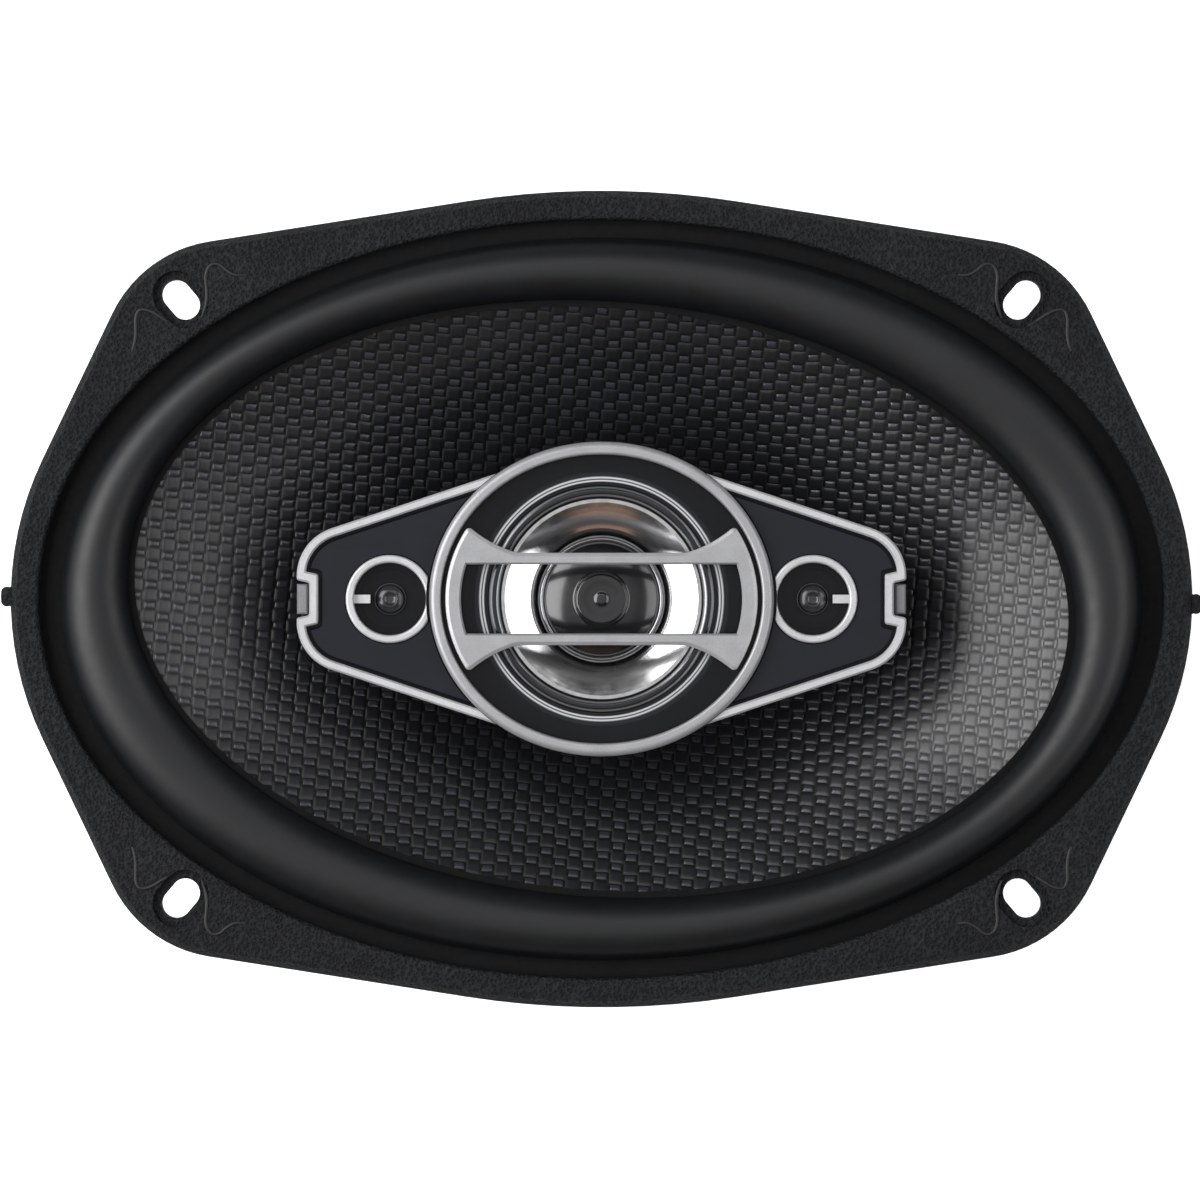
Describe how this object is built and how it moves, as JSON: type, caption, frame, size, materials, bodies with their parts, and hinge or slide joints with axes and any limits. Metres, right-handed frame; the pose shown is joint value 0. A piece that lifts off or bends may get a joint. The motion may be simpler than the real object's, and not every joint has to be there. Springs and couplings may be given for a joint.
{
  "type": "coaxial car speaker",
  "caption": "Oval coaxial car speaker with a woven cone, rubber roll surround, textured flange and a winged centre pod that holds a midrange and tweeters.",
  "frame": {"origin": "centre of the flange's rear mounting face, on the sound axis", "axes": "+Z along the sound axis towards the listener, +X along the long side of the flange, +Y along its short side"},
  "size_m": [0.2404, 0.1638, 0.0954],
  "materials": {
    "black_steel": "satin black powder coat",
    "gasket": "fine pebble grain",
    "surround_rubber": "smooth satin rubber",
    "spider_cloth": "resin-dipped woven cloth",
    "zinc_steel": "bright zinc",
    "ferrite": "ground ferrite",
    "boot_rubber": "moulded matte rubber",
    "phenolic": "brown laminate",
    "tinned_brass": "tin plate",
    "tinsel": "braided tinsel",
    "lead_jacket": "smooth jacket",
    "pod_plastic": "fine matte",
    "silver_paint": "satin silver paint",
    "wing_plate": "satin blue-black",
    "grey_plastic": "matte grey",
    "capacitor_film": "glossy wrap",
    "mid_frame_metal": "dark satin",
    "mid_foam": "coated foam",
    "woven_cone": "plain weave, satin resin",
    "former": "thin foil",
    "copper": "enamelled copper",
    "felt": "felt",
    "metallised": "mirror metallised film",
    "gloss_cap": "polished black",
    "dome_film": "metallised film"
  },
  "bodies": {
    "frame": {"basket": "black_steel", "front_gasket": "gasket", "surround": "surround_rubber", "spider": "spider_cloth", "top_plate": "zinc_steel", "plate_rivets": "zinc_steel", "magnet_ring": "ferrite", "t_yoke": "zinc_steel", "magnet_boot": "boot_rubber", "terminal_board": "phenolic", "board_rivet": "zinc_steel", "terminal_positive": "tinned_brass", "terminal_negative": "tinned_brass", "terminal_rivets": "tinned_brass", "tinsel_lead_positive": "tinsel", "tinsel_lead_negative": "tinsel", "pod_lead": "lead_jacket", "pod_post": "zinc_steel", "post_nut": "zinc_steel", "pod_housing": "pod_plastic", "bezel_ring": "silver_paint", "crossbar_grille": "silver_paint", "wing_trim_left": "silver_paint", "wing_trim_right": "silver_paint", "wing_plate_left": "wing_plate", "wing_plate_right": "wing_plate", "end_clip_left": "grey_plastic", "end_clip_right": "grey_plastic", "crossover_capacitors": "capacitor_film", "tweeter_body_left": "pod_plastic", "tweeter_body_right": "pod_plastic", "tweeter_ring_left": "silver_paint", "tweeter_ring_right": "silver_paint", "mid_frame": "mid_frame_metal", "mid_surround": "mid_foam", "mid_plate": "zinc_steel", "mid_magnet": "ferrite", "mid_yoke": "zinc_steel"},
    "cone": {"woofer_cone": "woven_cone", "coil_former": "former", "coil_winding": "copper", "dust_screen": "felt"},
    "mid": {"mid_cone": "metallised", "mid_dust_cap": "gloss_cap", "mid_former": "former", "mid_coil": "copper"},
    "dome_left": {"tweeter_dome_left": "dome_film"},
    "dome_right": {"tweeter_dome_right": "dome_film"}
  },
  "joints": [
    {"name": "cone_travel", "type": "slide", "parent": "frame", "child": "cone", "axis": [0, 0, 1], "range_m": [-0.004, 0.004], "stiffness_N_per_m": 2000, "deforming": ["surround", "spider", "tinsel_lead_positive", "tinsel_lead_negative"]},
    {"name": "mid_travel", "type": "slide", "parent": "frame", "child": "mid", "axis": [0, 0, 1], "range_m": [-0.0008, 0.0008], "stiffness_N_per_m": 600, "deforming": ["mid_surround"]},
    {"name": "dome_left_travel", "type": "slide", "parent": "frame", "child": "dome_left", "axis": [0, 0, 1], "range_m": [-0.00015, 0.00015], "stiffness_N_per_m": 15},
    {"name": "dome_right_travel", "type": "slide", "parent": "frame", "child": "dome_right", "axis": [0, 0, 1], "range_m": [-0.00015, 0.00015], "stiffness_N_per_m": 15}
  ]
}
